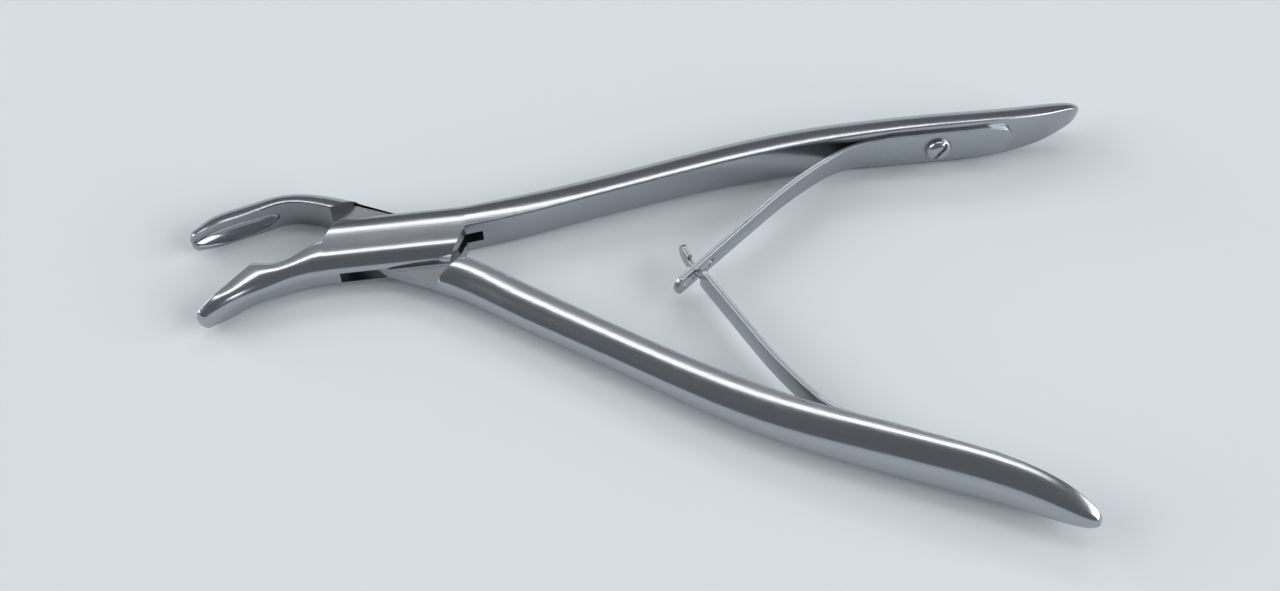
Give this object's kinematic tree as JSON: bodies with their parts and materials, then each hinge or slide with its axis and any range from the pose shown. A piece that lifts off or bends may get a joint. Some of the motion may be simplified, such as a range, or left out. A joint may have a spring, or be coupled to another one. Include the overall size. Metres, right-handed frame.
{
  "type": "bone rongeur",
  "caption": "Hand-held bone rongeur with cupped jaws, a box lock, two shaped handles and a double leaf spring that opens it.",
  "frame": {"origin": "where the pin's axis meets the flat underside of the box lock", "axes": "+X from the pin towards the handles along the centre line between them, +Y across the instrument towards the handle that carries the slotted leaf, +Z along the pin, up from the underside"},
  "size_m": [0.1614, 0.0868, 0.012],
  "materials": {
    "polished_steel": "satin polished stainless steel, fine lengthwise finish",
    "pin_steel": "ground flush stainless steel",
    "spring_steel": "satin spring stainless steel",
    "screw_steel": "turned stainless steel"
  },
  "bodies": {
    "box_member": {"box_member": "polished_steel", "joint_pin": "pin_steel", "spring_screw_upper": "screw_steel"},
    "through_member": {"through_member": "polished_steel", "spring_screw_lower": "screw_steel"},
    "slotted_leaf": {"slotted_spring": "spring_steel"},
    "tongue_leaf": {"tongue_spring": "spring_steel"}
  },
  "joints": [
    {"name": "jaw_hinge", "type": "hinge", "parent": "box_member", "child": "through_member", "pos_m": [0, 0, 0.0042], "axis": [0, 0, 1], "range_deg": [0, 25], "stiffness_Nm_per_rad": 2},
    {"name": "slotted_leaf_flex", "type": "hinge", "parent": "box_member", "child": "slotted_leaf", "pos_m": [0.07997, 0.02736, 0.0042], "axis": [0, 0, 1], "range_deg": [-20, 0], "deforming": ["slotted_spring"]},
    {"name": "tongue_leaf_flex", "type": "hinge", "parent": "through_member", "child": "tongue_leaf", "pos_m": [0.07997, -0.02736, 0.0042], "axis": [0, 0, 1], "range_deg": [0, 20], "deforming": ["tongue_spring"]}
  ],
  "couplings": [
    {"joint": "slotted_leaf_flex", "follows": "jaw_hinge", "ratio": -0.8},
    {"joint": "tongue_leaf_flex", "follows": "jaw_hinge", "ratio": 0.8}
  ]
}
